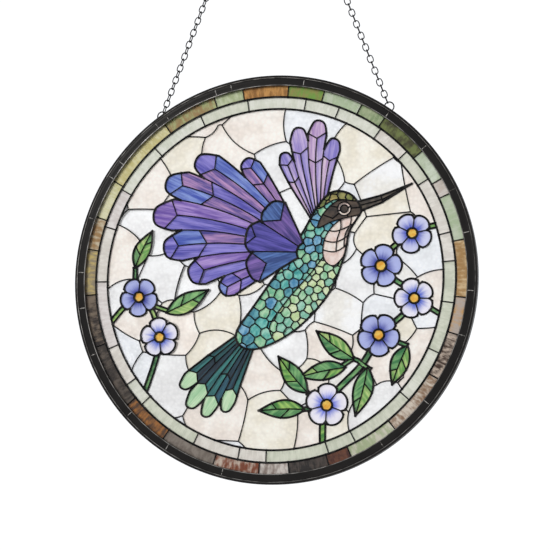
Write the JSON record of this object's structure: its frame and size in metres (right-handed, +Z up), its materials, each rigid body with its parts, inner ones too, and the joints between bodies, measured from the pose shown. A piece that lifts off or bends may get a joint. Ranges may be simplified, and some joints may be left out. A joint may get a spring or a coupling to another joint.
{
  "type": "stained glass suncatcher",
  "caption": "Round leaded stained glass suncatcher with a bird and blossom picture, tiled border and dark metal rim, hung by two chains from a ring.",
  "frame": {"origin": "inside top of the hanging ring, where a hook carries the whole piece", "axes": "+Z up along the plumb line, +X to the right seen from the front, the picture's front towards -Y"},
  "size_m": [0.3, 0.0125, 0.5099],
  "materials": {
    "ground_glass": "cream and white opalescent, hammered",
    "leaf_glass": "streaky mid green",
    "petal_glass": "blue fading to lilac white",
    "flower_centre_glass": "amber, domed",
    "far_wing_glass": "streaky lilac and mauve",
    "near_wing_glass": "streaky violet and blue",
    "covert_glass": "deep violet streaky",
    "tail_glass": "dark teal and navy, pale green towards the tips",
    "back_glass": "green to teal, painted scales",
    "breast_glass": "pale green, painted scales",
    "throat_glass": "pinkish cream",
    "crown_glass": "olive",
    "cheek_glass": "dark brown",
    "bill_glass": "dark grey brown",
    "outer_border_glass": "streaky opalescent greens, ambers and browns",
    "inner_border_glass": "pale grey cream and green opalescent",
    "rim_metal": "satin black patina with soft highlights",
    "lead": "black patinated solder, slightly lumpy",
    "chain_metal": "black plated steel wire"
  },
  "bodies": {
    "root": {"ground_pane_1": "ground_glass", "ground_pane_2": "ground_glass", "ground_pane_3": "ground_glass", "ground_pane_4": "ground_glass", "ground_pane_5": "ground_glass", "leaf_1": "leaf_glass", "leaf_2": "leaf_glass", "leaf_3": "leaf_glass", "leaf_4": "leaf_glass", "leaf_5": "leaf_glass", "leaf_6": "leaf_glass", "leaf_7": "leaf_glass", "leaf_8": "leaf_glass", "flower_1_petals": "petal_glass", "flower_1_centre": "flower_centre_glass", "flower_2_petals": "petal_glass", "flower_2_centre": "flower_centre_glass", "flower_3_petals": "petal_glass", "flower_3_centre": "flower_centre_glass", "flower_4_petals": "petal_glass", "flower_4_centre": "flower_centre_glass", "flower_5_petals": "petal_glass", "flower_5_centre": "flower_centre_glass", "flower_6_petals": "petal_glass", "flower_6_centre": "flower_centre_glass", "flower_7_petals": "petal_glass", "flower_7_centre": "flower_centre_glass", "far_wing_feather_1": "far_wing_glass", "far_wing_feather_2": "far_wing_glass", "far_wing_feather_3": "far_wing_glass", "far_wing_feather_4": "far_wing_glass", "tail_feather_1": "tail_glass", "tail_feather_2": "tail_glass", "tail_feather_3": "tail_glass", "tail_feather_4": "tail_glass", "bill": "bill_glass", "back_and_rump": "back_glass", "breast": "breast_glass", "throat": "throat_glass", "crown": "crown_glass", "cheek": "cheek_glass", "wing_feather_1": "near_wing_glass", "wing_feather_2": "near_wing_glass", "wing_feather_3": "near_wing_glass", "wing_feather_4": "near_wing_glass", "wing_feather_5": "near_wing_glass", "wing_feather_6": "near_wing_glass", "wing_feather_7": "near_wing_glass", "wing_covert_1": "covert_glass", "wing_covert_2": "covert_glass", "wing_covert_3": "covert_glass", "inner_border_tiles": "inner_border_glass", "outer_border_tiles": "outer_border_glass", "lead_lines": "lead", "rim": "rim_metal", "rim_eye_left": "lead", "rim_eye_right": "lead", "hanging_ring": "chain_metal", "chain_left": "chain_metal", "chain_right": "chain_metal"}
  },
  "joints": []
}
